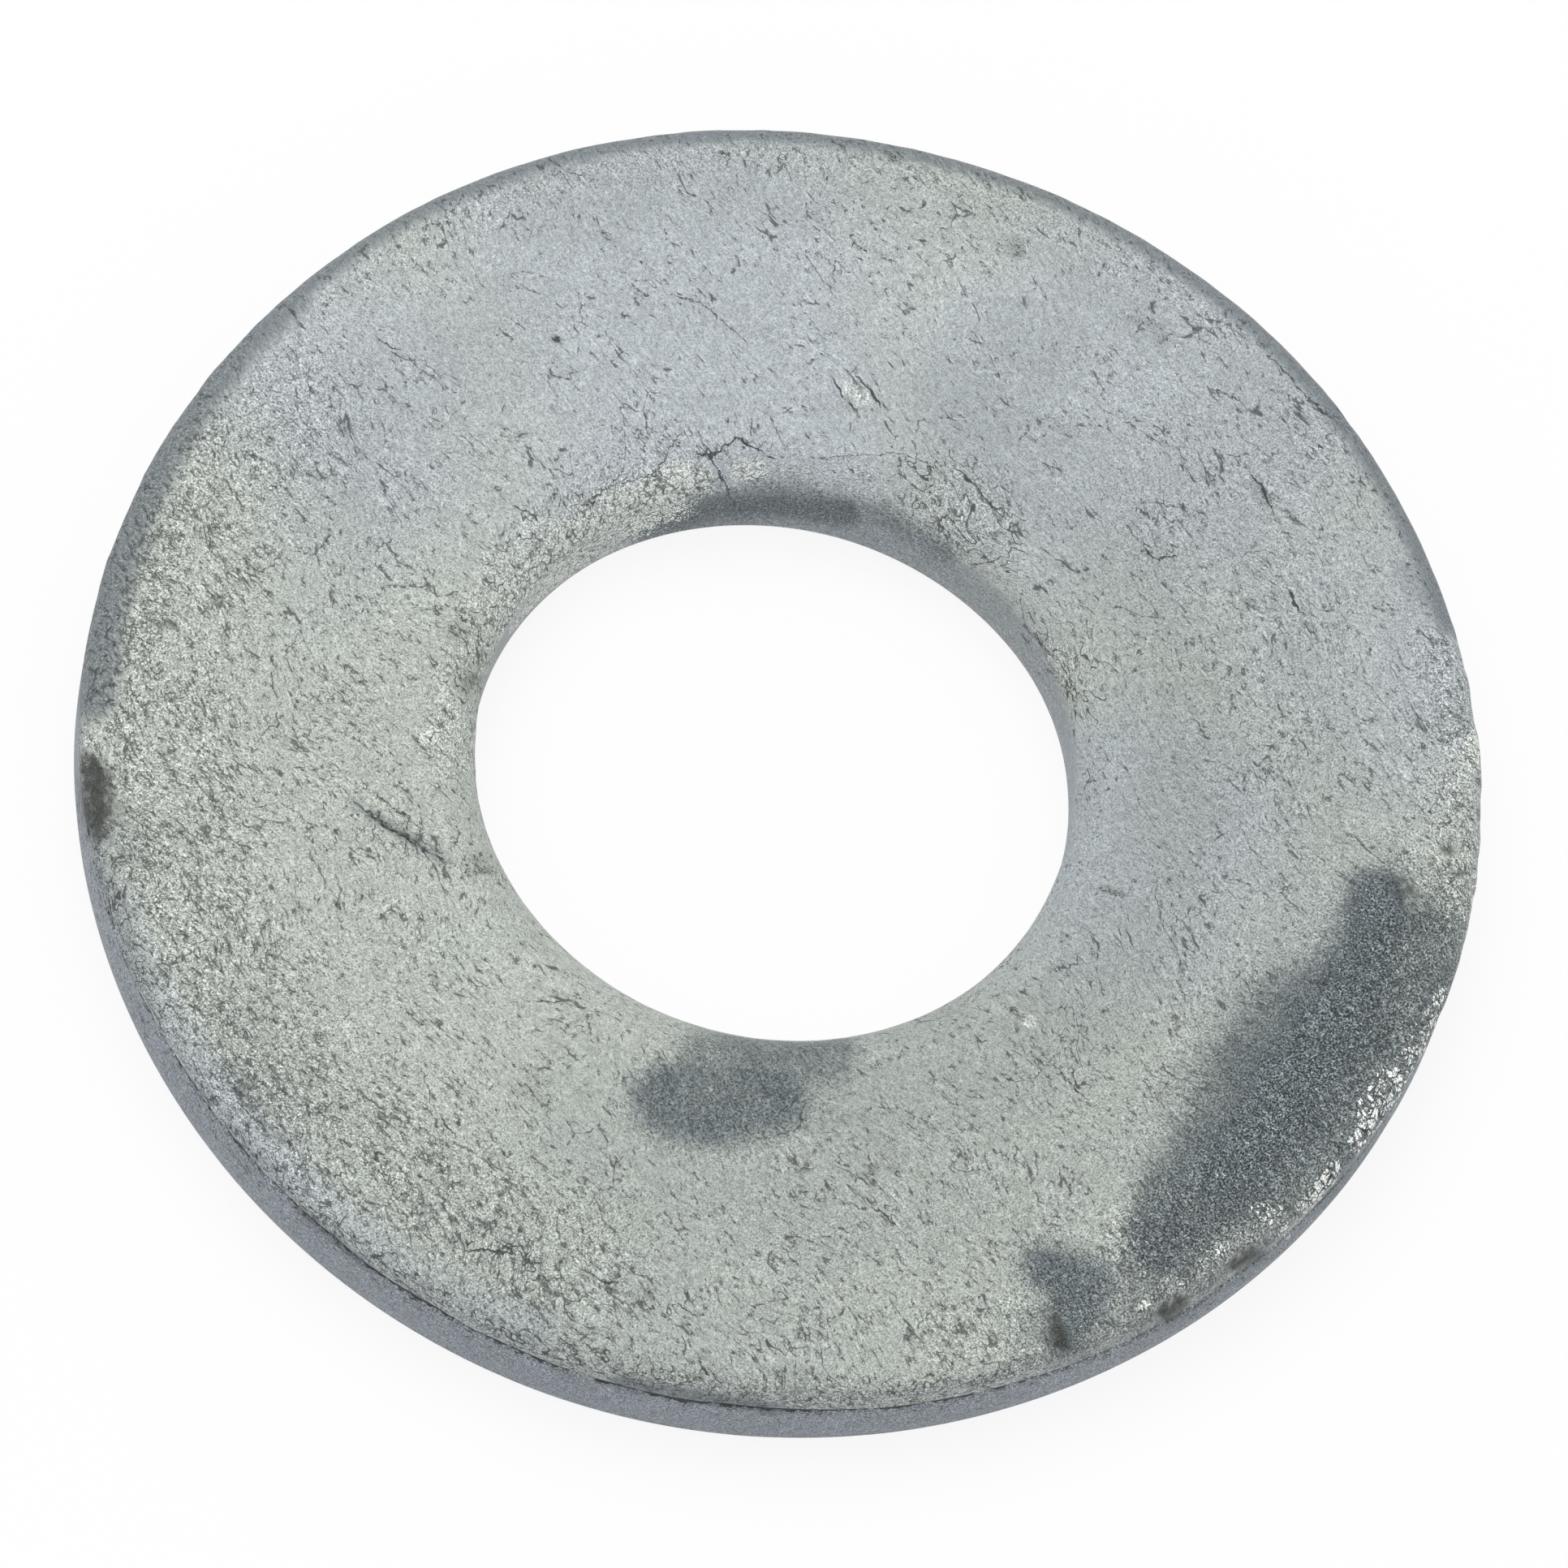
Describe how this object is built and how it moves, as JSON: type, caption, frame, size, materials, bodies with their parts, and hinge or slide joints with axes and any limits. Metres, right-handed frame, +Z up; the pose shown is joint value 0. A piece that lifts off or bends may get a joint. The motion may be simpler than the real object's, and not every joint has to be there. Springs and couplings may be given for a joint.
{
  "type": "galvanised steel flat washer",
  "caption": "Wide flat washer punched from steel plate, its upper edges rolled over at bore and rim, with a rough, stained hot-dip zinc coat; spreads a bolt's load.",
  "frame": {"origin": "on the axis of the rim, in the plane of the lower bearing face", "axes": "+Z up the washer's axis, from the lower face to the upper, rolled face; X and Y lie in the face, and the pictured chip in the rim lies 200 degrees round from +X"},
  "size_m": [0.0256, 0.0256, 0.0022],
  "materials": {
    "zinc_coat": "matt hot-dip zinc, pale green-grey with darker blue-grey alloy stains, crazed and lumpy, on punched steel"
  },
  "bodies": {
    "root": {"flat_washer": "zinc_coat"}
  },
  "joints": []
}
